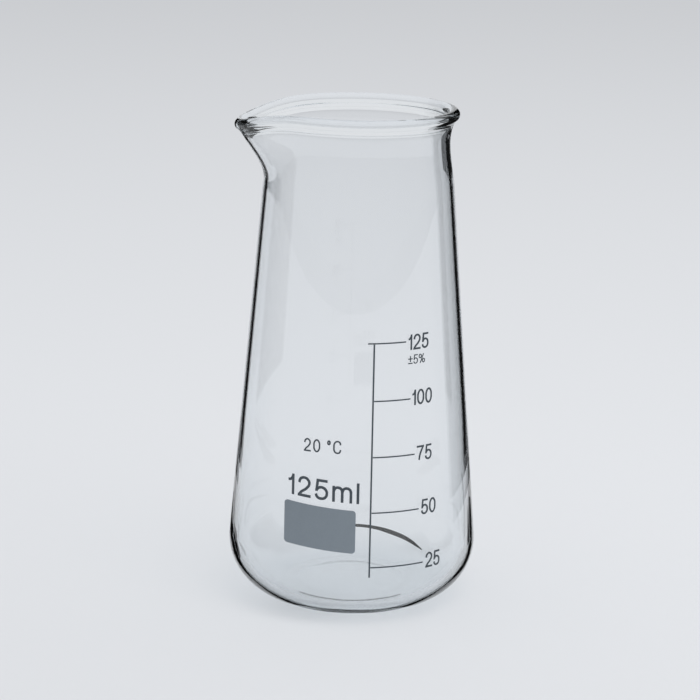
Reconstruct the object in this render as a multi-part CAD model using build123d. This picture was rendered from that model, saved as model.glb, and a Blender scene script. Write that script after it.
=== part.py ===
from build123d import *
from math import atan, cos, pi, radians, sin, tan
import os

os.makedirs("parts", exist_ok=True)

# A 125 ml conical beaker of clear glass, in millimetres, +Z up.
# The origin is the middle of the base, on the table. The pouring spout points to -X and
# the fired marks face -Y.

# Outer form of the glass
cone_radius_at_table = 30.0      # the straight wall, run on down to the table
rim_height = 113.65              # middle of the bead, away from the spout
rim_radius = 21.75               # outside of the wall where it enters the bead
rim_flare = 0.25                 # outward slope of the wall there
neck_radius = 20.6               # narrowest place, under the rim
neck_below_rim = 6.15
neck_height = rim_height - neck_below_rim
shoulder_radius = 21.95          # the straight wall ends here
shoulder_below_rim = 17.65
shoulder_height = rim_height - shoulder_below_rim
heel_radius = 13.5

# Wall and base
wall = 1.0
heel_wall_extra = 1.4            # more glass at the table, none left at thinning_height
thinning_height = 45.0
floor_thickness = 2.2
inner_heel_radius = 12.0
punt_radius = 12.5               # the middle of the base is pushed up
punt_rise = 0.8

# Rim bead and pouring spout
bead_diameter = 2.7
bead_blend = 2.2                 # length over which the wall swells into the bead
blend_angle = 55.0               # where the wall meets the bead, round from its underside
spout_reach = 6.6                # pull of the lip past the round neck
spout_drop = 3.2                 # how far the lip hangs under the rim
spout_sharpness = 18             # a higher power gives a narrower spout
spout_root_rise = 2.0            # the pull starts this far over the straight wall
spout_root_height = shoulder_height + spout_root_rise

# Fired enamel marks on the front
film = 0.06
film_gap = 0.04                  # between the film and the glass, and between two films
line_width = 0.38
tick_width = 0.3
scale_line_offset = 4.45         # middle of the line, from the front middle towards +X
scale_line_bottom = 12.7
tick_heights = {"125": 65.75, "100": 52.8, "75": 40.1, "50": 27.45, "25": 14.95}
top_tick_start = 3.05            # the top tick crosses over the line
top_tick_end = 11.5
bottom_tick_end = 16.5
panel_left = -15.0
panel_right = 1.15
panel_height = 9.8
panel_middle_height = 23.65
panel_slant = 4.2                # degrees, the left side sits higher
panel_corner = 0.8

sections = 37                    # wall sections set out over half a turn


def spout_share(angle):
    """How much of the spout's pull reaches this angle from its middle."""
    return ((1 + cos(angle)) / 2) ** spout_sharpness


def lip_height(angle):
    return rim_height - spout_drop * spout_share(angle)


def curved(height, low, high, start, end, slope_in, slope_out):
    """Radius on a smooth curve between two heights, with a set slope at each end."""
    span = high - low
    t = (height - low) / span
    return (
        start * (1 + 2 * t) * (1 - t) ** 2
        + end * t**2 * (3 - 2 * t)
        + slope_in * span * t * (1 - t) ** 2
        + slope_out * span * t**2 * (t - 1)
    )


def round_radius(height):
    """Outer radius of the glass, the spout left out."""
    slope = (shoulder_radius - cone_radius_at_table) / shoulder_height
    if height <= shoulder_height:
        return cone_radius_at_table + slope * height
    if height <= neck_height:
        return curved(
            height, shoulder_height, neck_height, shoulder_radius, neck_radius, slope, 0
        )
    return curved(height, neck_height, rim_height, neck_radius, rim_radius, 0, rim_flare)


def outer_radius(angle, height):
    climb = (height - spout_root_height) / (lip_height(0) - spout_root_height)
    climb = min(max(climb, 0), 1)
    pull = spout_reach * spout_share(angle) * climb**2 * (3 - 2 * climb)
    return round_radius(height) + pull


def inner_radius(angle, height):
    thinning = max(0, 1 - height / thinning_height) ** 2
    return outer_radius(angle, height) - wall - heel_wall_extra * thinning


def face_points(radius_at, angle, low, high, steps):
    """Points up one face of the wall."""
    heights = [low + (high - low) * step / steps for step in range(steps + 1)]
    return [(radius_at(angle, height), height) for height in heights]


def heel_arc(radius_at, bottom, heel):
    """Arc from the level bottom round into the leaning wall."""
    wall_radius = radius_at(pi, bottom + heel)
    slant = atan(wall_radius - radius_at(pi, bottom + heel + 1))
    middle_x = wall_radius - heel / cos(slant)
    half_way = (slant - pi / 2) / 2

    def on_arc(turn):
        return (middle_x + heel * cos(turn), bottom + heel + heel * sin(turn))

    return ThreePointArc(on_arc(-pi / 2), on_arc(half_way), on_arc(slant))


def wall_section(angle):
    """Cut through the glass on one side of the axis: foot, outside, bead, inside, floor."""
    bead = bead_diameter / 2
    middle_height = lip_height(angle)
    middle_x = outer_radius(angle, middle_height) - wall / 2
    lean = atan(middle_x + wall / 2 - outer_radius(angle, middle_height - 1))
    blend_height = middle_height - bead - bead_blend

    def on_bead(turn):
        """Place on the bead and the way round it, turned from the side where the wall enters."""
        heading = radians(turn) - pi / 2 - lean
        place = (middle_x + bead * cos(heading), middle_height + bead * sin(heading))
        return place, (-sin(heading), cos(heading))

    outer_join, outer_way = on_bead(blend_angle)
    top, top_way = on_bead(180)
    inner_join, inner_way = on_bead(-blend_angle)
    inner_way = (-inner_way[0], -inner_way[1])

    outer_heel = heel_arc(outer_radius, 0, heel_radius)
    cone = Line(outer_heel @ 1, (shoulder_radius, shoulder_height))
    outer_points = face_points(outer_radius, angle, shoulder_height, blend_height, 8)
    outer_neck = Spline([*outer_points, outer_join], tangents=[cone % 1, outer_way])
    rim = ThreePointArc(outer_join, top, inner_join)
    inner_points = face_points(inner_radius, angle, shoulder_height, blend_height, 8)
    inner_neck = Spline([*inner_points, inner_join], tangents=[cone % 1, inner_way])
    inner_heel = heel_arc(inner_radius, floor_thickness, inner_heel_radius)
    start = inner_heel @ 1
    side_points = face_points(inner_radius, angle, start.Y, shoulder_height, 8)[1:]
    inner_side = Spline([start, *side_points], tangents=[inner_heel % 1, cone % 1])

    across = Plane(
        origin=(0, 0, 0),
        x_dir=(-cos(angle), -sin(angle), 0),
        z_dir=(-sin(angle), cos(angle), 0),
    )
    edges = [outer_heel, cone, outer_neck, rim, inner_neck, inner_side, inner_heel]
    return Wire([across * edge for edge in edges])


def level_face(faces, height):
    """Disc that closes the shell at the foot or at the floor."""
    circle = [edge for edge in faces.edges() if edge.bounding_box().size.Z < film_gap]
    return Face(Wire([edge for edge in circle if abs(edge.center().Z - height) < film_gap]))


def glass_body():
    half_turn = [wall_section(pi * step / (sections - 1)) for step in range(sections)]
    half = Shell.make_loft(half_turn)
    skin = half.faces() + mirror(half, about=Plane.XZ).faces()
    discs = [level_face(skin, 0), level_face(skin, floor_thickness)]
    glass = Solid(Shell([*skin, *discs]))

    # The base is pushed up in the middle, and the floor rises with it
    dome = (punt_radius**2 + punt_rise**2) / (2 * punt_rise)
    dome_middle = Pos(0, 0, punt_rise - dome)
    floor_dome = dome_middle * Sphere(dome + floor_thickness)
    glass += split(floor_dome, Plane.XY.offset(floor_thickness), keep=Keep.TOP)
    glass -= dome_middle * Sphere(dome)
    return glass


def front_film(left, right, bottom, top):
    """Enamel film on the straight wall, between two places along +X and two heights."""
    low = round_radius(bottom) + film_gap
    high = round_radius(top) + film_gap
    sheet = Polyline((low, bottom), (low + film, bottom), (high + film, top), (high, top), close=True)
    ring = revolve(Plane.XZ * make_face(sheet), Axis.Z)
    window = Box(right - left, 2 * low, top - bottom, align=(Align.MIN, Align.MAX, Align.MIN))
    return ring & Pos(left, 0, bottom) * window


def scale_line():
    top = tick_heights["125"] - tick_width / 2 - film_gap
    left = scale_line_offset - line_width / 2
    return front_film(left, left + line_width, scale_line_bottom, top)


def tick(volume):
    """Graduation tick. The ticks get longer down the cone."""
    height = tick_heights[volume]
    top, bottom = tick_heights["125"], tick_heights["25"]
    start = scale_line_offset + line_width / 2 + film_gap
    if volume == "125":
        start = top_tick_start
    end = top_tick_end + (bottom_tick_end - top_tick_end) * (top - height) / (top - bottom)
    return front_film(start, end, height - tick_width / 2, height + tick_width / 2)


def marking_panel():
    half_width = (panel_right - panel_left) / 2
    middle_x = (panel_right + panel_left) / 2
    rise = half_width * tan(radians(panel_slant))
    half_height = panel_height / 2
    corners = Polyline(
        (-half_width, rise - half_height),
        (half_width, -rise - half_height),
        (half_width, -rise + half_height),
        (-half_width, rise + half_height),
        close=True,
    )
    outline = make_face(corners)
    field = fillet(outline.vertices(), panel_corner)
    facing = Plane(origin=(middle_x, 0, panel_middle_height), x_dir=(1, 0, 0), z_dir=(0, -1, 0))
    prism = extrude(facing * field, amount=cone_radius_at_table)
    reach = half_height + rise + film
    band = front_film(
        panel_left - film, panel_right + film, panel_middle_height - reach, panel_middle_height + reach
    )
    return band & prism


pieces = {
    "glass_body": glass_body(),
    "scale_line": scale_line(),
    "marking_panel": marking_panel(),
}
for volume in tick_heights:
    pieces["tick_" + volume] = tick(volume)

for name, piece in pieces.items():
    export_step(piece, "parts/" + name + ".step")
    print(name, "solids", len(piece.solids()), "valid", piece.is_valid, round(piece.volume, 2))
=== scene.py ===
from math import atan, cos, pi, radians, sin, sqrt, tan

import bpy
from mathutils import Matrix, Vector


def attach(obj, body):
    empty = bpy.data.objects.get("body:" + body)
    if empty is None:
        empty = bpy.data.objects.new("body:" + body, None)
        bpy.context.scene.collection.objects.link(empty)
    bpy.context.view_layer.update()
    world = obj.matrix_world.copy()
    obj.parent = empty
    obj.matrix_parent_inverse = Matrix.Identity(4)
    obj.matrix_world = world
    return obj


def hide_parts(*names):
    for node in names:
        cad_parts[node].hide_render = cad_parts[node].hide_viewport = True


# 125 ml conical beaker with a pulled spout: clear glass with grey enamel marks on the front.
# Blender works in metres here. The dictionaries are in millimetres and degrees.

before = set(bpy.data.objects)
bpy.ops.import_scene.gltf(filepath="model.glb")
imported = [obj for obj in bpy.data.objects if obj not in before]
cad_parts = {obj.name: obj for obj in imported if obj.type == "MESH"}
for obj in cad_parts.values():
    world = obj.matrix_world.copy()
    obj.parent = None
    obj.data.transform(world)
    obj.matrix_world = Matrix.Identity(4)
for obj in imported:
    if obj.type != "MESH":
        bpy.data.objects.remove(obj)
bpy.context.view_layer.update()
mm = 0.001
print("frame loaded:", len(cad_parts), "nodes")


# Small helpers for node trees

def plug(tree, socket, value):
    if isinstance(value, bpy.types.NodeSocket):
        tree.links.new(value, socket)
    else:
        socket.default_value = value


def addNode(tree, kind, plugs=None, **settings):
    made = tree.nodes.new(kind)
    for name, value in settings.items():
        setattr(made, name, value)
    for socket, value in (plugs or {}).items():
        plug(tree, made.inputs[socket], value)
    return made


def calc(tree, operation, *values):
    node = addNode(tree, "ShaderNodeMath", dict(enumerate(values)), operation=operation)
    return node.outputs[0]


def ranged(tree, value, low, high, start=0.0, end=1.0, way="LINEAR"):
    # The value runs from low to high, and the result from start to end
    plugs = {0: value, 1: low, 2: high, 3: start, 4: end}
    return addNode(tree, "ShaderNodeMapRange", plugs, interpolation_type=way).outputs[0]


def eased(tree, value, low, high, start, end):
    return ranged(tree, value, low, high, start, end, "SMOOTHSTEP")


def blended(tree, share, first, second):
    # The first colour where the share is 0, the second where it is 1
    node = addNode(tree, "ShaderNodeMix", {"Factor": share, 6: first, 7: second}, data_type="RGBA")
    return node.outputs[2]


def newMaterial(name):
    material = bpy.data.materials.new(name)
    material.use_nodes = True
    material.node_tree.nodes.clear()
    return material, material.node_tree


def newTree(name, inputs, outputs):
    tree = bpy.data.node_groups.new(name, "GeometryNodeTree")
    for label, kind in inputs.items():
        tree.interface.new_socket(label, in_out="INPUT", socket_type="NodeSocket" + kind)
    for label, kind in outputs.items():
        tree.interface.new_socket(label, in_out="OUTPUT", socket_type="NodeSocket" + kind)
    return tree, tree.nodes.new("NodeGroupInput").outputs, tree.nodes.new("NodeGroupOutput").inputs


def linked(obj):
    bpy.context.scene.collection.objects.link(obj)
    return obj


def runTree(source, tree, values, name):
    # Runs the tree on the source object and keeps only the result, as a plain mesh object
    modifier = source.modifiers.new(tree.name, "NODES")
    modifier.node_group = tree
    for item in tree.interface.items_tree:
        if item.item_type == "SOCKET" and item.in_out == "INPUT" and item.name in values:
            modifier[item.identifier] = values[item.name]
    bpy.context.view_layer.update()
    evaluated = source.evaluated_get(bpy.context.evaluated_depsgraph_get())
    mesh = bpy.data.meshes.new_from_object(evaluated)
    mesh.name = name
    source.modifiers.remove(modifier)
    bpy.data.objects.remove(source)
    return linked(bpy.data.objects.new(name, mesh))


# Camera, at the photograph's viewing angle

photoCamera = {
    "place": (5.55, -550.0, 197.9),
    "yaw": -0.706,
    "pitch": -14.262,
    "roll": 1.155,
    "focalPixels": 2450.6,
    "picturePixels": 700,
    "sensorWidth": 36,
    "clip": (10, 10000),
}


def placeCamera(settings):
    yaw, pitch, roll = (radians(settings[key]) for key in ("yaw", "pitch", "roll"))
    ahead = Vector((sin(yaw) * cos(pitch), cos(yaw) * cos(pitch), sin(pitch)))
    level = Vector((cos(yaw), -sin(yaw), 0))
    upright = level.cross(ahead)
    right = level * cos(roll) + upright * sin(roll)
    up = upright * cos(roll) - level * sin(roll)
    data = bpy.data.cameras.new("photoCamera")
    data.sensor_width = settings["sensorWidth"]
    data.lens = settings["sensorWidth"] * settings["focalPixels"] / settings["picturePixels"]
    data.clip_start, data.clip_end = (distance * mm for distance in settings["clip"])
    camera = linked(bpy.data.objects.new("photoCamera", data))
    turn = Matrix((right, up, -ahead)).transposed().to_4x4()
    camera.matrix_world = Matrix.Translation(Vector(settings["place"]) * mm) @ turn
    bpy.context.scene.camera = camera


placeCamera(photoCamera)
bpy.context.scene.view_settings.view_transform = "Standard"
print("camera placed")


# Clear glass

clearGlass = {
    "tint": (0.99, 0.996, 1.0, 1),
    # Painted shade: a darker colour for the glass where its wall is seen edge on
    "paintedEdgeShade": (0.86, 0.885, 0.905, 1),
    "paintedEdgeShadeBand": (0.3, 0.95),        # how far edge on the painted shade starts and is full
    "ior": 1.473,
    "absorption": 30.0,             # per metre
    "absorptionColour": (0.30, 0.42, 0.48, 1),
    "shadowTint": (0.985, 0.988, 0.99, 1),
    "waviness": 0.012,
    "wavesPerMetre": 70.0,
    "waveStretch": 0.25,            # the waves are four times as long up the wall
    "waveDepth": 1.0,
}


def clearGlassMaterial(settings):
    material, tree = newMaterial("clearGlass")
    place = addNode(tree, "ShaderNodeTexCoord").outputs["Object"]
    # Slow waves along the wall, as drawn glass has
    stretch = (1, 1, settings["waveStretch"])
    stretched = addNode(tree, "ShaderNodeMapping", {"Vector": place, "Scale": stretch})
    waves = addNode(tree, "ShaderNodeTexNoise", {
        "Vector": stretched.outputs[0],
        "Scale": settings["wavesPerMetre"],
        "Detail": 1.0,
    })
    bump = addNode(tree, "ShaderNodeBump", {
        "Height": waves.outputs[0],
        "Distance": settings["waveDepth"] * mm,
        "Strength": settings["waviness"],
    })
    # Painted shade: the glass's colour is darker where the wall is seen edge on, for its dark edges
    facing = addNode(tree, "ShaderNodeLayerWeight", {"Blend": 0.5}).outputs["Facing"]
    edge = ranged(tree, facing, *settings["paintedEdgeShadeBand"])
    body = addNode(tree, "ShaderNodeBsdfPrincipled", {
        "Base Color": blended(tree, edge, settings["tint"], settings["paintedEdgeShade"]),
        "Roughness": 0.0,
        "IOR": settings["ior"],
        "Transmission Weight": 1.0,
        "Normal": bump.outputs[0],
    })
    # Light reaches the floor and the marks straight through the glass
    rays = addNode(tree, "ShaderNodeLightPath").outputs
    through = addNode(tree, "ShaderNodeBsdfTransparent", {"Color": settings["shadowTint"]})
    passes = calc(tree, "MAXIMUM", rays["Is Shadow Ray"], rays["Is Diffuse Ray"])
    mix = addNode(tree, "ShaderNodeMixShader", {0: passes, 1: body.outputs[0], 2: through.outputs[0]})
    soak = addNode(tree, "ShaderNodeVolumeAbsorption", {
        "Color": settings["absorptionColour"],
        "Density": settings["absorption"],
    })
    addNode(tree, "ShaderNodeOutputMaterial", {"Surface": mix.outputs[0], "Volume": soak.outputs[0]})
    return material


# Grey enamel, paler on the writing field and darker on the thin lines

greyEnamel = {
    "colour": (0.205, 0.243, 0.279, 1),
    "darker": (0.180, 0.215, 0.248, 1),
    "grainPerMetre": 5200.0,
    "cloudsPerMetre": 320.0,
    "grainShare": 0.7,              # the clouds have the rest
    "colourBand": (0.3, 0.7),
    "grainDepth": 0.04,
    "grainStrength": 0.5,
    "ior": 1.5,
    "roughness": 0.42,
    "roughnessSpread": 0.2,
}

lineEnamel = dict(greyEnamel, colour=(0.062, 0.08, 0.096, 1), darker=(0.04, 0.053, 0.066, 1))


def enamelMaterial(name, settings):
    material, tree = newMaterial(name)
    place = addNode(tree, "ShaderNodeTexCoord").outputs["Object"]

    def noise(perMetre, detail):
        plugs = {"Vector": place, "Scale": perMetre, "Detail": detail}
        return addNode(tree, "ShaderNodeTexNoise", plugs).outputs[0]

    grain = noise(settings["grainPerMetre"], 2.0)
    clouds = noise(settings["cloudsPerMetre"], 3.0)
    rest = calc(tree, "MULTIPLY", clouds, 1 - settings["grainShare"])
    speckle = calc(tree, "MULTIPLY_ADD", grain, settings["grainShare"], rest)
    bump = addNode(tree, "ShaderNodeBump", {
        "Height": speckle,
        "Distance": settings["grainDepth"] * mm,
        "Strength": settings["grainStrength"],
    })
    paleShare = ranged(tree, speckle, *settings["colourBand"])
    spread = settings["roughnessSpread"]
    body = addNode(tree, "ShaderNodeBsdfPrincipled", {
        "Base Color": blended(tree, paleShare, settings["darker"], settings["colour"]),
        "Roughness": calc(tree, "MULTIPLY_ADD", grain, spread, settings["roughness"] - spread / 2),
        "IOR": settings["ior"],
        "Normal": bump.outputs[0],
    })
    addNode(tree, "ShaderNodeOutputMaterial", {"Surface": body.outputs[0]})
    return material


glassFinish = clearGlassMaterial(clearGlass)
panelFinish = enamelMaterial("greyEnamelField", greyEnamel)
lineFinish = enamelMaterial("greyEnamelLines", lineEnamel)
print("materials made")


# The beaker's glass, turned from its cut and pulled out into the spout

beaker = {
    "coneRadiusAtTable": 30.0,
    "rimHeight": 113.65,
    "rimRadius": 21.75,
    "rimFlare": 0.25,
    "neckRadius": 20.6,
    "neckHeight": 107.5,
    "shoulderRadius": 21.95,
    "shoulderHeight": 96.0,
    "heelRadius": 13.5,
    "wall": 1.0,
    "heelWallExtra": 1.4,
    "thinningHeight": 45.0,
    "floorThickness": 2.2,
    "innerHeelRadius": 12.0,
    "puntRadius": 12.5,
    "puntRise": 0.8,
    "beadDiameter": 2.7,
    "beadBlend": 2.2,
    "blendAngle": 55.0,
    "spoutReach": 6.6,
    "spoutDrop": 3.2,
    "spoutSharpness": 18.0,
    "spoutRootHeight": 98.0,
    "turnSteps": 288,               # round the beaker, the rest are along its cut
    "domeSteps": 12,
    "levelSteps": 3,
    "heelSteps": 26,
    "coneSteps": 24,
    "innerConeSteps": 34,
    "neckSteps": 20,
    "blendSteps": 9,
    "beadSteps": 34,
    "mergeWithin": 0.001,
}

coneSlope = (beaker["shoulderRadius"] - beaker["coneRadiusAtTable"]) / beaker["shoulderHeight"]


def coneRadius(height):
    return beaker["coneRadiusAtTable"] + coneSlope * height


def softStep(t):
    return t * t * (3 - 2 * t)


def roundRadius(height):
    # Outer radius of the glass away from the spout
    b = beaker
    radius = coneRadius(min(height, b["shoulderHeight"]))
    span = b["neckHeight"] - b["shoulderHeight"]
    t = min(max((height - b["shoulderHeight"]) / span, 0), 1)
    radius += (b["neckRadius"] - b["shoulderRadius"]) * softStep(t) + coneSlope * span * t * (1 - t) ** 2
    span = b["rimHeight"] - b["neckHeight"]
    t = min(max((height - b["neckHeight"]) / span, 0), 1)
    radius += (b["rimRadius"] - b["neckRadius"]) * softStep(t)
    return radius + b["rimFlare"] * span * t * t * (t - 1)


def innerRadius(height):
    thinning = max(0, 1 - height / beaker["thinningHeight"]) ** 2
    return roundRadius(height) - beaker["wall"] - beaker["heelWallExtra"] * thinning


def steps(low, high, count):
    return [low + (high - low) * step / count for step in range(1, count + 1)]


def arc(middle, radius, start, end, count):
    return [
        (middle[0] + radius * cos(turn), middle[1] + radius * sin(turn))
        for turn in [start] + steps(start, end, count)
    ]


def blendCurve(start, startWay, end, endWay, count):
    # Cubic that leaves and arrives along the given directions
    reach = sqrt((end[0] - start[0]) ** 2 + (end[1] - start[1]) ** 2)
    points = []
    for t in steps(0, 1, count + 1)[:-1]:
        near, leaving = (1 + 2 * t) * (1 - t) ** 2, t * (1 - t) ** 2 * reach
        far, arriving = softStep(t), t * t * (t - 1) * reach
        points.append(tuple(
            near * start[k] + leaving * startWay[k] + far * end[k] + arriving * endWay[k] for k in (0, 1)
        ))
    return points


def heelArc(radiusAt, bottom, heel):
    # From the level bottom round into the leaning wall
    wallRadius = radiusAt(bottom + heel)
    slant = atan(wallRadius - radiusAt(bottom + heel + 1))
    middle = (wallRadius - heel / cos(slant), bottom + heel)
    return arc(middle, heel, -pi / 2, slant, beaker["heelSteps"])


def beakerCut():
    # The cut on the side away from the spout: (radius, height, height on the wall it goes with)
    b = beaker
    dome = (b["puntRadius"] ** 2 + b["puntRise"] ** 2) / (2 * b["puntRise"])
    domeMiddle = b["puntRise"] - dome
    puntTurn = atan(b["puntRadius"] / -domeMiddle)
    punt = arc((0, domeMiddle), dome, pi / 2, pi / 2 - puntTurn, b["domeSteps"])
    cut = [(x, z, 0) for x, z in punt]
    outerHeel = heelArc(roundRadius, 0, b["heelRadius"])
    cut += [(x, 0, 0) for x in steps(b["puntRadius"], outerHeel[0][0], b["levelSteps"])[:-1]]
    cut += [(x, z, z) for x, z in outerHeel]
    coneHeights = steps(outerHeel[-1][1], b["shoulderHeight"], b["coneSteps"])
    cut += [(roundRadius(z), z, z) for z in coneHeights]

    bead = b["beadDiameter"] / 2
    middle = (b["rimRadius"] - b["wall"] / 2, b["rimHeight"])
    lean = atan(b["rimRadius"] - roundRadius(b["rimHeight"] - 1))
    blendHeight = b["rimHeight"] - bead - b["beadBlend"]
    cut += [(roundRadius(z), z, z) for z in steps(b["shoulderHeight"], blendHeight, b["neckSteps"])]

    def onBead(turn):
        heading = radians(turn) - pi / 2 - lean
        place = (middle[0] + bead * cos(heading), middle[1] + bead * sin(heading))
        return place, (-sin(heading), cos(heading))

    def wallWay(radiusAt, height):
        climb = 0.05
        run = radiusAt(height) - radiusAt(height - climb)
        length = sqrt(run * run + climb ** 2)
        return run / length, climb / length

    outerJoin, outerWay = onBead(b["blendAngle"])
    innerJoin, innerWay = onBead(-b["blendAngle"])
    start = (roundRadius(blendHeight), blendHeight)
    upward = wallWay(roundRadius, blendHeight)
    blend = blendCurve(start, upward, outerJoin, outerWay, b["blendSteps"])
    cut += [(x, z, z) for x, z in blend]
    turns = [b["blendAngle"]] + steps(b["blendAngle"], 360 - b["blendAngle"], b["beadSteps"])
    cut += [(*onBead(turn)[0], b["rimHeight"]) for turn in turns]
    end = (innerRadius(blendHeight), blendHeight)
    downward = [-value for value in wallWay(innerRadius, blendHeight)]
    blend = blendCurve(innerJoin, innerWay, end, downward, b["blendSteps"])
    cut += [(x, z, z) for x, z in blend]
    neckHeights = [blendHeight] + steps(blendHeight, b["shoulderHeight"], b["neckSteps"])
    cut += [(innerRadius(z), z, z) for z in neckHeights]
    innerHeel = heelArc(innerRadius, b["floorThickness"], b["innerHeelRadius"])
    coneHeights = steps(b["shoulderHeight"], innerHeel[-1][1], b["innerConeSteps"])[:-1]
    cut += [(innerRadius(z), z, z) for z in coneHeights]
    cut += [(x, z, z) for x, z in reversed(innerHeel)]
    floorDome = dome + b["floorThickness"]
    rise = b["floorThickness"] - domeMiddle
    floorTurn = atan(sqrt(floorDome ** 2 - rise ** 2) / rise)
    floorEdge = floorDome * sin(floorTurn)
    level = steps(innerHeel[0][0], floorEdge, b["levelSteps"])[:-1]
    cut += [(x, b["floorThickness"], 0) for x in level]
    raised = arc((0, domeMiddle), floorDome, pi / 2 - floorTurn, pi / 2, b["domeSteps"])
    cut += [(x, z, 0) for x, z in raised]
    cut[0] = (0, cut[0][1], 0)      # both ends lie right on the axis
    cut[-1] = (0, cut[-1][1], 0)
    return cut


def finishTree(tree, geometry, given, result):
    real = addNode(tree, "GeometryNodeRealizeInstances", {0: geometry})
    finished = addNode(tree, "GeometryNodeSetMaterial", {
        "Geometry": real.outputs[0],
        "Material": given["Material"],
    })
    plug(tree, result["Geometry"], finished.outputs[0])


sizeInputs = {
    "Cone Radius": "coneRadiusAtTable",
    "Shoulder Radius": "shoulderRadius",
    "Shoulder Height": "shoulderHeight",
    "Neck Radius": "neckRadius",
    "Neck Height": "neckHeight",
    "Rim Radius": "rimRadius",
    "Rim Height": "rimHeight",
    "Spout Root Height": "spoutRootHeight",
    "Spout Reach": "spoutReach",
    "Spout Drop": "spoutDrop",
}


def wallTree():
    # Outer radius of the wall at a height, for a share of the spout's pull
    inputs = {"Height": "Float", "Share": "Float", "Rim Flare": "Float"}
    inputs.update({label: "Float" for label in sizeInputs})
    tree, given, result = newTree("wallRadius", inputs, {"Radius": "Float"})
    height = given["Height"]
    low, middle, high = (given[k + " Height"] for k in ("Shoulder", "Neck", "Rim"))
    drop = calc(tree, "SUBTRACT", given["Shoulder Radius"], given["Cone Radius"])
    slope = calc(tree, "DIVIDE", drop, low)
    cone = calc(tree, "MULTIPLY_ADD", slope, calc(tree, "MINIMUM", height, low), given["Cone Radius"])
    inset = calc(tree, "SUBTRACT", given["Neck Radius"], given["Shoulder Radius"])
    toNeck = eased(tree, height, low, middle, 0.0, inset)
    t = ranged(tree, height, low, middle)
    rest = calc(tree, "SUBTRACT", 1.0, t)
    curl = calc(tree, "MULTIPLY", calc(tree, "MULTIPLY", t, rest), rest)
    span = calc(tree, "SUBTRACT", middle, low)
    start = calc(tree, "MULTIPLY", calc(tree, "MULTIPLY", slope, span), curl)
    outset = calc(tree, "SUBTRACT", given["Rim Radius"], given["Neck Radius"])
    toRim = eased(tree, height, middle, high, 0.0, outset)
    t = ranged(tree, height, middle, high)
    curl = calc(tree, "MULTIPLY", calc(tree, "MULTIPLY", t, t), calc(tree, "SUBTRACT", t, 1.0))
    span = calc(tree, "SUBTRACT", high, middle)
    end = calc(tree, "MULTIPLY", calc(tree, "MULTIPLY", given["Rim Flare"], span), curl)
    lip = calc(tree, "SUBTRACT", high, given["Spout Drop"])
    climb = eased(tree, height, given["Spout Root Height"], lip, 0.0, given["Spout Reach"])
    total = calc(tree, "MULTIPLY_ADD", climb, given["Share"], cone)
    for part in (toNeck, start, toRim, end):
        total = calc(tree, "ADD", total, part)
    plug(tree, result["Radius"], total)
    return tree


def beakerTree():
    inputs = {"Geometry": "Geometry", "Turn Steps": "Int", "Rim Flare": "Float"}
    inputs.update({label: "Float" for label in sizeInputs})
    inputs.update({label: "Float" for label in ("Spout Sharpness", "Blend Height", "Merge Within")})
    inputs["Material"] = "Material"
    tree, given, result = newTree("turnedBeaker", inputs, {"Geometry": "Geometry"})
    count = addNode(tree, "GeometryNodeAttributeDomainSize", {0: given["Geometry"]}).outputs[0]
    length = calc(tree, "SUBTRACT", count, 1.0)
    grid = addNode(tree, "GeometryNodeMeshGrid", {
        "Size X": length,
        "Size Y": 1.0,
        "Vertices X": count,
        "Vertices Y": calc(tree, "ADD", given["Turn Steps"], 1.0),
    })
    position = addNode(tree, "GeometryNodeInputPosition").outputs[0]
    place = addNode(tree, "ShaderNodeSeparateXYZ", {0: position})
    index = calc(tree, "ROUND", calc(tree, "MULTIPLY_ADD", length, 0.5, place.outputs[0]))
    aroundShare = calc(tree, "ADD", place.outputs[1], 0.5)
    angle = calc(tree, "MULTIPLY", aroundShare, 2 * pi)  # from the spout's middle

    def sampled(kind, value):
        node = addNode(tree, "GeometryNodeSampleIndex", data_type=kind, domain="POINT")
        plug(tree, node.inputs["Geometry"], given["Geometry"])
        plug(tree, node.inputs["Value"], value)
        plug(tree, node.inputs["Index"], index)
        return node.outputs[0]

    cutPlace = sampled("FLOAT_VECTOR", position)
    stored = addNode(tree, "GeometryNodeInputNamedAttribute", {"Name": "wallHeight"}, data_type="FLOAT")
    height = sampled("FLOAT", stored.outputs[0])
    cut = addNode(tree, "ShaderNodeSeparateXYZ", {0: cutPlace})

    half = calc(tree, "MULTIPLY_ADD", calc(tree, "COSINE", angle), 0.5, 0.5)
    share = calc(tree, "POWER", half, given["Spout Sharpness"])
    reached = ranged(tree, height, given["Shoulder Height"], given["Blend Height"])
    drop = calc(tree, "MULTIPLY", calc(tree, "MULTIPLY", share, reached), given["Spout Drop"])
    lowered = calc(tree, "SUBTRACT", height, drop)

    walls = wallTree()

    def wallRadius(at, pull):
        node = addNode(tree, "GeometryNodeGroup", node_tree=walls)
        for label in list(sizeInputs) + ["Rim Flare"]:
            plug(tree, node.inputs[label], given[label])
        plug(tree, node.inputs["Height"], at)
        plug(tree, node.inputs["Share"], pull)
        return node.outputs[0]

    moved = calc(tree, "SUBTRACT", wallRadius(lowered, share), wallRadius(height, 0.0))
    radius = calc(tree, "ADD", cut.outputs[0], moved)
    newPlace = addNode(tree, "ShaderNodeCombineXYZ", {
        0: calc(tree, "MULTIPLY", radius, calc(tree, "MULTIPLY", calc(tree, "COSINE", angle), -1.0)),
        1: calc(tree, "MULTIPLY", radius, calc(tree, "MULTIPLY", calc(tree, "SINE", angle), -1.0)),
        2: calc(tree, "SUBTRACT", cut.outputs[2], drop),
    })
    turned = addNode(tree, "GeometryNodeSetPosition", {
        "Geometry": grid.outputs["Mesh"],
        "Position": newPlace.outputs[0],
    })
    closed = addNode(tree, "GeometryNodeMergeByDistance", {
        "Geometry": turned.outputs[0],
        "Distance": given["Merge Within"],
    })
    outward = addNode(tree, "GeometryNodeFlipFaces", {"Mesh": closed.outputs[0]})
    smooth = addNode(tree, "GeometryNodeSetShadeSmooth", {
        "Geometry": outward.outputs[0],
        "Shade Smooth": True,
    })
    finishTree(tree, smooth.outputs[0], given, result)
    return tree


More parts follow.
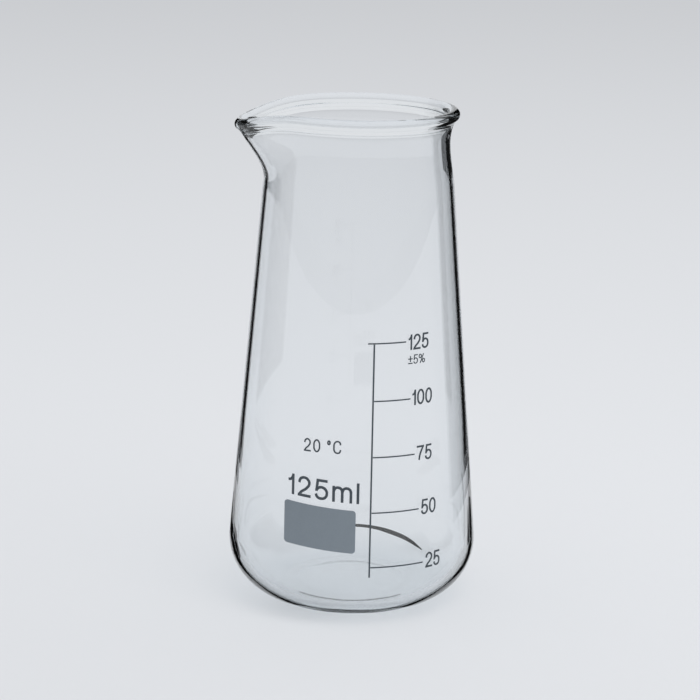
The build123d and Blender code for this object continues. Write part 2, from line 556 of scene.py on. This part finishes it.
def makeBeaker():
    cut = beakerCut()
    mesh = bpy.data.meshes.new("beakerCut")
    places = [(x * mm, 0, z * mm) for x, z, wallHeight in cut]
    mesh.from_pydata(places, [(i, i + 1) for i in range(len(places) - 1)], [])
    heights = mesh.attributes.new("wallHeight", "FLOAT", "POINT")
    heights.data.foreach_set("value", [wallHeight * mm for x, z, wallHeight in cut])
    source = linked(bpy.data.objects.new("beakerCut", mesh))
    values = {label: beaker[key] * mm for label, key in sizeInputs.items()}
    values["Turn Steps"] = beaker["turnSteps"]
    values["Rim Flare"] = beaker["rimFlare"]
    values["Spout Sharpness"] = beaker["spoutSharpness"]
    values["Blend Height"] = (beaker["rimHeight"] - beaker["beadDiameter"] / 2 - beaker["beadBlend"]) * mm
    values["Merge Within"] = beaker["mergeWithin"] * mm
    values["Material"] = glassFinish
    glass = runTree(source, beakerTree(), values, "beakerGlass")
    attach(glass, "root")
    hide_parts("glass_body")
    return glass


beakerGlass = makeBeaker()
print("glass made:", len(beakerGlass.data.polygons), "faces")


# Printed marks

marks = {
    "film": 0.06,
    "gap": 0.04,
    "strokeStep": 0.12,             # length of each short piece that a stroke is wrapped in
    "numbers": [                    # text, left side in degrees from the front, bottom
        ("125", 28.8, 63.8),
        ("100", 30.5, 51.25),
        ("75", 32.85, 38.4),
        ("50", 34.7, 25.95),
        ("25", 36.5, 13.5),
    ],
    "numberStyle": {"size": 3.5, "stroke": 0.43, "spacing": 0.32},
    "words": [
        {"text": "±5%", "left": 28.9, "bottom": 60.6, "size": 2.1, "stroke": 0.24, "spacing": 0.22},
        {"text": "20 °C", "left": -24.0, "bottom": 40.8, "size": 3.0, "stroke": 0.36, "spacing": 0.55},
        {
            "text": "125ml",
            "left": -31.9,
            "bottom": 30.6,
            "size": 4.7,
            "stroke": 0.62,
            "spacing": 0.92,
            "slant": 3.45,
            "stretch": 1.2,
        },
    ],
}

# Each sign: its width as a share of its height, then its strokes. "-" is straight, "~" smooth,
# and "o" smooth and closed. Places are shares of the width and of the height.
signs = {
    "0": (0.56, [
        (
            "o", (0.5, 1), (0.12, 0.84), (0, 0.5), (0.12, 0.16),
            (0.5, 0), (0.88, 0.16), (1, 0.5), (0.88, 0.84),
        ),
    ]),
    "1": (0.33, [
        ("-", (1, 0), (1, 1)),
        ("~", (0, 0.72), (0.45, 0.75), (0.8, 0.86), (1, 1)),
    ]),
    "2": (0.56, [
        (
            "~", (0, 0.68), (0.13, 0.9), (0.5, 1), (0.87, 0.9),
            (0.98, 0.7), (0.72, 0.43), (0.2, 0.17), (0, 0),
        ),
        ("-", (0, 0), (1, 0)),
    ]),
    "5": (0.56, [
        ("-", (0.16, 1), (0.93, 1)),
        ("-", (0.16, 1), (0.06, 0.46)),
        (
            "~", (0.06, 0.46), (0.28, 0.6), (0.55, 0.63), (0.88, 0.53), (1, 0.32),
            (0.86, 0.09), (0.48, 0), (0.13, 0.07), (0, 0.24),
        ),
    ]),
    "7": (0.56, [
        ("-", (0, 1), (1, 1)),
        ("~", (1, 1), (0.62, 0.62), (0.4, 0.3), (0.32, 0)),
    ]),
    "m": (0.80, [
        ("-", (0, 0), (0, 0.74)),
        ("~", (0, 0.5), (0.1, 0.69), (0.27, 0.74), (0.45, 0.66), (0.5, 0.5)),
        ("-", (0.5, 0.5), (0.5, 0)),
        ("~", (0.5, 0.5), (0.6, 0.69), (0.77, 0.74), (0.95, 0.66), (1, 0.5)),
        ("-", (1, 0.5), (1, 0)),
    ]),
    "l": (0.12, [
        ("-", (0.5, 0), (0.5, 1)),
    ]),
    "C": (0.62, [
        (
            "~", (1, 0.7), (0.86, 0.93), (0.5, 1), (0.13, 0.88), (0, 0.5),
            (0.13, 0.12), (0.5, 0), (0.86, 0.07), (1, 0.3),
        ),
    ]),
    "°": (0.28, [
        ("o", (0.5, 1), (0, 0.85), (0.5, 0.7), (1, 0.85)),
    ]),
    "±": (0.55, [
        ("-", (0.5, 0.28), (0.5, 0.88)),
        ("-", (0, 0.58), (1, 0.58)),
        ("-", (0, 0.04), (1, 0.04)),
    ]),
    "%": (0.85, [
        ("o", (0.2, 1), (0, 0.78), (0.2, 0.56), (0.4, 0.78)),
        ("o", (0.8, 0.44), (0.6, 0.22), (0.8, 0), (1, 0.22)),
        ("-", (0.76, 1), (0.24, 0)),
    ]),
    " ": (0.15, []),
}


def drawText(data, text, left, bottom, size, stroke, spacing, slant=0.0, stretch=1.0):
    # Flat strokes. Across is the way round the cone from the front, in millimetres
    across = radians(left) * coneRadius(bottom + size / 2)
    begin = across
    half = stroke / 2
    for sign in text:
        width, strokes = signs[sign]
        width *= stretch
        wide, tall = width * size - stroke, size - stroke
        for way, *points in strokes:
            spline = data.splines.new("POLY" if way == "-" else "BEZIER")
            fresh = spline.points if way == "-" else spline.bezier_points
            fresh.add(len(points) - 1)
            ends = [(across + half + x * wide, bottom + half + y * tall) for x, y in points]
            if way == "-":  # straight strokes run on to the outside of the sign
                run = Vector(ends[1]) - Vector(ends[0])
                run = run.normalized() * half
                ends = [tuple(Vector(ends[0]) - run), tuple(Vector(ends[1]) + run)]
            for point, (x, y) in zip(fresh, ends):
                place = (x * mm, (y - (x - begin) * tan(radians(slant))) * mm, 0)
                if way == "-":
                    point.co = (*place, 1)
                else:
                    point.co = place
                    point.handle_left_type = point.handle_right_type = "AUTO"
                point.radius = stroke
            spline.use_cyclic_u = way == "o"
        across += width * size + spacing


def letteringTree():
    # Flat strokes become thin bands of enamel wrapped on the cone
    inputs = {k: "Float" for k in ("Film", "Gap", "Cone Radius", "Cone Slope", "Step")}
    inputs = {"Geometry": "Geometry", **inputs, "Material": "Material"}
    tree, given, result = newTree("wrappedLettering", inputs, {"Geometry": "Geometry"})
    plugs = {"Curve": given["Geometry"], "Length": given["Step"]}
    even = addNode(tree, "GeometryNodeResampleCurve", plugs, mode="LENGTH")
    upright = addNode(tree, "GeometryNodeSetCurveNormal", {"Curve": even.outputs[0]}, mode="Z_UP")
    band = addNode(tree, "GeometryNodeCurvePrimitiveQuadrilateral", {"Width": mm, "Height": mm})
    width = addNode(tree, "GeometryNodeInputRadius").outputs[0]
    strokes = addNode(tree, "GeometryNodeCurveToMesh", {
        "Curve": upright.outputs[0],
        "Profile Curve": band.outputs[0],
        "Scale": width,
        "Fill Caps": True,
    })
    position = addNode(tree, "GeometryNodeInputPosition").outputs[0]
    across, height, depth = addNode(tree, "ShaderNodeSeparateXYZ", {0: position}).outputs
    wall = calc(tree, "MULTIPLY_ADD", height, given["Cone Slope"], given["Cone Radius"])
    outside = calc(tree, "GREATER_THAN", depth, 0.0)
    stand = calc(tree, "MULTIPLY_ADD", outside, given["Film"], given["Gap"])
    radius = calc(tree, "ADD", wall, stand)
    angle = calc(tree, "DIVIDE", across, wall)
    wrapped = addNode(tree, "ShaderNodeCombineXYZ", {
        0: calc(tree, "MULTIPLY", radius, calc(tree, "SINE", angle)),
        1: calc(tree, "MULTIPLY", radius, calc(tree, "MULTIPLY", calc(tree, "COSINE", angle), -1.0)),
        2: height,
    })
    bent = addNode(tree, "GeometryNodeSetPosition", {
        "Geometry": strokes.outputs[0],
        "Position": wrapped.outputs[0],
    })
    finishTree(tree, bent.outputs[0], given, result)
    return tree


def makeLettering():
    data = bpy.data.curves.new("flatLettering", "CURVE")
    data.dimensions = "3D"
    for number in marks["numbers"]:
        drawText(data, *number, **marks["numberStyle"])
    for word in marks["words"]:
        drawText(data, **word)
    source = linked(bpy.data.objects.new("flatLettering", data))
    values = {
        "Film": marks["film"] * mm,
        "Gap": marks["gap"] * mm,
        "Cone Radius": beaker["coneRadiusAtTable"] * mm,
        "Cone Slope": coneSlope,
        "Step": marks["strokeStep"] * mm,
        "Material": lineFinish,
    }
    lettering = runTree(source, letteringTree(), values, "printedLettering")
    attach(lettering, "root")
    return lettering


printedLettering = makeLettering()
for name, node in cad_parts.items():
    if name != "glass_body":
        node.material_slots[0].material = panelFinish if name == "marking_panel" else lineFinish
print("marks made:", len(printedLettering.data.polygons), "faces")


# Floor, room and light

studio = {
    "floorColour": (0.763, 0.78, 0.81),
    "roomColour": (0.765, 0.78, 0.80, 1),
    "roomLightColour": (1, 1, 1, 1),
    "roomLight": 0.74,
    "floorReach": 1500.0,
    "floorSides": 96,
    "floorLean": 0.4,               # the floor's shading runs back and a little to the right
    "nearShade": (-220, 160, 0.915, 1.0),  # from, to, and the tone at each
    "farShade": (400, 1400, 1.0, 0.96),
    "lampPlace": (350, -600, 1400),
    "lampSize": 900,
    "lampWatts": 8.5,
}


def makeFloor():
    mesh = bpy.data.meshes.new("floor")
    count = studio["floorSides"]
    rim = [(cos(2 * pi * i / count), sin(2 * pi * i / count), 0) for i in range(count)]
    mesh.from_pydata([Vector(p) * studio["floorReach"] * mm for p in rim], [], [range(count)])
    floor = linked(bpy.data.objects.new("floor", mesh))
    material, tree = newMaterial("paleFloor")

    def shade(along, low, high, start, end):
        return eased(tree, along, low * mm, high * mm, start, end)

    place = addNode(tree, "ShaderNodeTexCoord").outputs["Object"]
    x, y = addNode(tree, "ShaderNodeSeparateXYZ", {0: place}).outputs[:2]
    leaning = calc(tree, "MULTIPLY_ADD", x, studio["floorLean"], y)
    # Painted shade: the floor's colour is darker towards the front and a little to the left, and far
    # behind
    near = shade(leaning, *studio["nearShade"])
    far = shade(y, *studio["farShade"])
    plugs = {0: studio["floorColour"], "Scale": calc(tree, "MULTIPLY", near, far)}
    colour = addNode(tree, "ShaderNodeVectorMath", plugs, operation="SCALE")
    matt = addNode(tree, "ShaderNodeBsdfDiffuse", {"Color": colour.outputs[0]})
    addNode(tree, "ShaderNodeOutputMaterial", {"Surface": matt.outputs[0]})
    mesh.materials.append(material)


def makeRoom():
    # The lens, the gloss and the glass see the room's colour, and everything else its light
    world = bpy.data.worlds.new("studioRoom")
    bpy.context.scene.world = world
    world.use_nodes = True
    tree = world.node_tree
    tree.nodes.clear()
    rays = addNode(tree, "ShaderNodeLightPath").outputs
    seen = calc(tree, "MAXIMUM", rays["Is Camera Ray"], rays["Is Transmission Ray"])
    seen = calc(tree, "MAXIMUM", seen, rays["Is Glossy Ray"])
    view = addNode(tree, "ShaderNodeBackground", {"Color": studio["roomColour"], "Strength": 1.0})
    light = addNode(tree, "ShaderNodeBackground", {
        "Color": studio["roomLightColour"],
        "Strength": studio["roomLight"],
    })
    mix = addNode(tree, "ShaderNodeMixShader", {0: seen, 1: light.outputs[0], 2: view.outputs[0]})
    addNode(tree, "ShaderNodeOutputWorld", {"Surface": mix.outputs[0]})


def makeLamp():
    data = bpy.data.lights.new("softLamp", "AREA")
    data.shape = "DISK"
    data.size = studio["lampSize"] * mm
    data.energy = studio["lampWatts"]
    lamp = linked(bpy.data.objects.new("softLamp", data))
    place = Vector(studio["lampPlace"])
    lamp.location = place * mm
    lamp.rotation_mode = "QUATERNION"
    lamp.rotation_quaternion = (-place).to_track_quat("-Z", "Y")
    lamp.visible_glossy = lamp.visible_transmission = False


# Dark studio cards and painted shade on the floor, all seen only by the glass. They draw its dark edges
# and its base.
cards = {
    "bendSteps": 12,
    "smoothSteps": 6,
    "flatHeight": 0.03,
    "shadeSheetGrey": 0.01,
    # From and to in degrees from straight behind, distance, bottom, top, grey, and whether
    # they show through the glass as well as in its gloss
    "upright": [
        (30, 80, 110, 0.5, 168, 0.01, True),
        (20, 30, 110, 85, 168, 0.01, True),
        (-48, -32, 110, 0.5, 168, 0.01, True),
        (-80, -24, 112, 85, 168, 0.01, True),
        (60, 138, 1080, 1, 500, 0.06, False),
        (138, 222, 1080, 1, 500, 0.14, False),
        (222, 300, 1080, 1, 500, 0.06, False),
    ],
    # Painted shade flat on the floor, seen only through the glass: middle line and width
    "shadeThroughGlass": [
        [(-43, 35, 3), (-45.2, 25.5, 9), (-40.5, 17, 8), (-36, 10.5, 6.5), (-33, 6, 3)],
        [(46.5, 84, 2), (47.5, 62, 5), (48, 48, 8), (45, 36, 8), (43, 26, 7), (40, 21, 3)],
        [
            (-12, 34, 2), (-6, 39.6, 2.4), (0, 41.2, 2.4), (6, 39.6, 2.5), (11, 35.2, 2.6),
            (14.8, 30, 1.8), (18.3, 22.5, 0.4),
        ],
        [(-12.5, -13, 0.6), (-9, -15.7, 1.5), (0, -18.1, 1.8), (9, -15.7, 1.5), (12.5, -13, 0.6)],
    ],
    # Painted shade flat on the floor too, but seen only in the gloss round the heel
    "shadeInGloss": [
        (-50, 75, 4), (-48, 50, 12), (-53, 27, 17), (-40, 9, 9), (-32.5, -2, 4), (-27.5, -9, 2.6),
        (-20.5, -14.3, 2.8), (-10.4, -18.4, 3.4), (0, -20.7, 3.6), (10.4, -18.4, 3.4), (20.5, -14.3, 2.8),
        (27.5, -9, 2.6), (32, -2, 3.4), (37, 10, 6), (45, 23, 9), (54, 37, 14), (58, 53, 16), (62, 75, 10),
    ],
}


def smoothed(line):
    # Places on a smooth curve between the given ones, with the width eased along
    points = []
    last = len(line) - 1
    for i in range(last):
        around = [line[min(max(i + k, 0), last)] for k in (-1, 0, 1, 2)]
        shares = steps(0, 1, cards["smoothSteps"])
        if i == 0:
            shares = [0] + shares
        if i < last - 1:
            shares = shares[:-1]
        for t in shares:
            points.append(tuple(
                q + t * (r - p + t * (2 * p - 5 * q + 4 * r - s + t * (3 * (q - r) + s - p))) / 2
                for p, q, r, s in zip(*around)
            ))
    return points


def makeCard(name, places, grey, through):
    # Places come in pairs along the card, one on each side
    faces = [(i, i + 1, i + 3, i + 2) for i in range(0, len(places) - 2, 2)]
    material, tree = newMaterial(name)
    body = addNode(tree, "ShaderNodeBsdfDiffuse", {"Color": (grey, grey, grey, 1)})
    addNode(tree, "ShaderNodeOutputMaterial", {"Surface": body.outputs[0]})
    mesh = bpy.data.meshes.new(name)
    mesh.from_pydata([Vector(place) * mm for place in places], [], faces)
    mesh.materials.append(material)
    card = linked(bpy.data.objects.new(name, mesh))
    card.visible_camera = card.visible_diffuse = card.visible_shadow = False
    card.visible_transmission = through
    return card


def makeCards():
    for number, (low, high, distance, bottom, top, grey, through) in enumerate(cards["upright"]):
        places = []
        for angle in [low] + steps(low, high, cards["bendSteps"]):
            x, y = distance * sin(radians(angle)), distance * cos(radians(angle))
            places += [(x, y, bottom), (x, y, top)]
        makeCard("uprightCard" + str(number), places, grey, through)
    for number, line in enumerate([*cards["shadeThroughGlass"], cards["shadeInGloss"]]):
        line = smoothed(line)
        places = []
        for i, (x, y, width) in enumerate(line):
            before, after = line[max(i - 1, 0)], line[min(i + 1, len(line) - 1)]
            side = Vector((before[1] - after[1], after[0] - before[0])).normalized() * width / 2
            places.append((x - side.x, y - side.y, cards["flatHeight"]))
            places.append((x + side.x, y + side.y, cards["flatHeight"]))
        onlyGloss = number == len(cards["shadeThroughGlass"])
        # Painted shade on the floor, seen through the glass, and for the last sheet only in its gloss
        card = makeCard("paintedShadeSheet" + str(number), places, cards["shadeSheetGrey"], not onlyGloss)
        card.visible_glossy = onlyGloss


makeFloor()
makeRoom()
makeCards()
makeLamp()
print("studio made")
